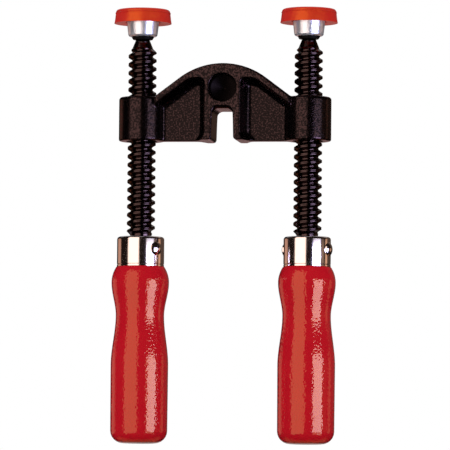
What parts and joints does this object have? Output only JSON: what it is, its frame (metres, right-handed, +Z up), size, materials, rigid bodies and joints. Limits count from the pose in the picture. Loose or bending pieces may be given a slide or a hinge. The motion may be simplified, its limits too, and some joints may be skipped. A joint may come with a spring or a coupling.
{
  "type": "edge clamp",
  "caption": "Ribbed arch bracket with an open slot that sits on a bar clamp's rail, and a threaded spindle through each end, with a swivel pad on top and a turned handle below.",
  "frame": {"origin": "on the floor under the middle of the part as it stands on its two handles, pads up", "axes": "+Z up towards the pads, +X from the left spindle to the right one, -Y towards the front"},
  "size_m": [0.1074, 0.0274, 0.2073],
  "materials": {
    "black_paint": "sand-cast malleable iron under satin black paint",
    "black_oxide_steel": "black oxide on a rolled screw, oiled",
    "bush_nylon": "moulded black nylon",
    "bright_zinc_steel": "turned steel, bright zinc plate",
    "cap_pvc": "soft moulded plastic, glossy",
    "nickel_plate": "pressed steel, bright nickel plate",
    "red_lacquer": "turned beech under glossy red lacquer"
  },
  "bodies": {
    "bracket": {"bracket": "black_paint"},
    "left_pad_seat": {"left_swivel_bush": "bush_nylon"},
    "left_spindle": {"left_spindle": "black_oxide_steel", "left_ferrule": "nickel_plate", "left_rivet": "nickel_plate", "left_handle": "red_lacquer"},
    "left_pad": {"left_pressure_plate": "bright_zinc_steel", "left_cap": "cap_pvc"},
    "right_pad_seat": {"right_swivel_bush": "bush_nylon"},
    "right_spindle": {"right_spindle": "black_oxide_steel", "right_ferrule": "nickel_plate", "right_rivet": "nickel_plate", "right_handle": "red_lacquer"},
    "right_pad": {"right_pressure_plate": "bright_zinc_steel", "right_cap": "cap_pvc"}
  },
  "joints": [
    {"name": "left_advance", "type": "slide", "parent": "bracket", "child": "left_pad_seat", "axis": [0, 0, 1], "range_m": [-0.026, 0.044]},
    {"name": "left_turn", "type": "hinge", "parent": "left_pad_seat", "child": "left_spindle", "pos_m": [-0.04, 0, 0.1964], "axis": [0, 0, 1], "range_deg": [-2341, 3961]},
    {"name": "left_pad_tilt", "type": "hinge", "parent": "left_pad_seat", "child": "left_pad", "pos_m": [-0.04, 0, 0.1964], "axis": [0, 1, 0], "range_deg": [-10, 10]},
    {"name": "right_advance", "type": "slide", "parent": "bracket", "child": "right_pad_seat", "axis": [0, 0, 1], "range_m": [-0.026, 0.044]},
    {"name": "right_turn", "type": "hinge", "parent": "right_pad_seat", "child": "right_spindle", "pos_m": [0.04, 0, 0.1964], "axis": [0, 0, 1], "range_deg": [-2341, 3961]},
    {"name": "right_pad_tilt", "type": "hinge", "parent": "right_pad_seat", "child": "right_pad", "pos_m": [0.04, 0, 0.1964], "axis": [0, 1, 0], "range_deg": [-10, 10]}
  ],
  "couplings": [
    {"joint": "left_turn", "follows": "left_advance", "rad_per_m": 1570.8},
    {"joint": "right_turn", "follows": "right_advance", "rad_per_m": 1570.8}
  ]
}
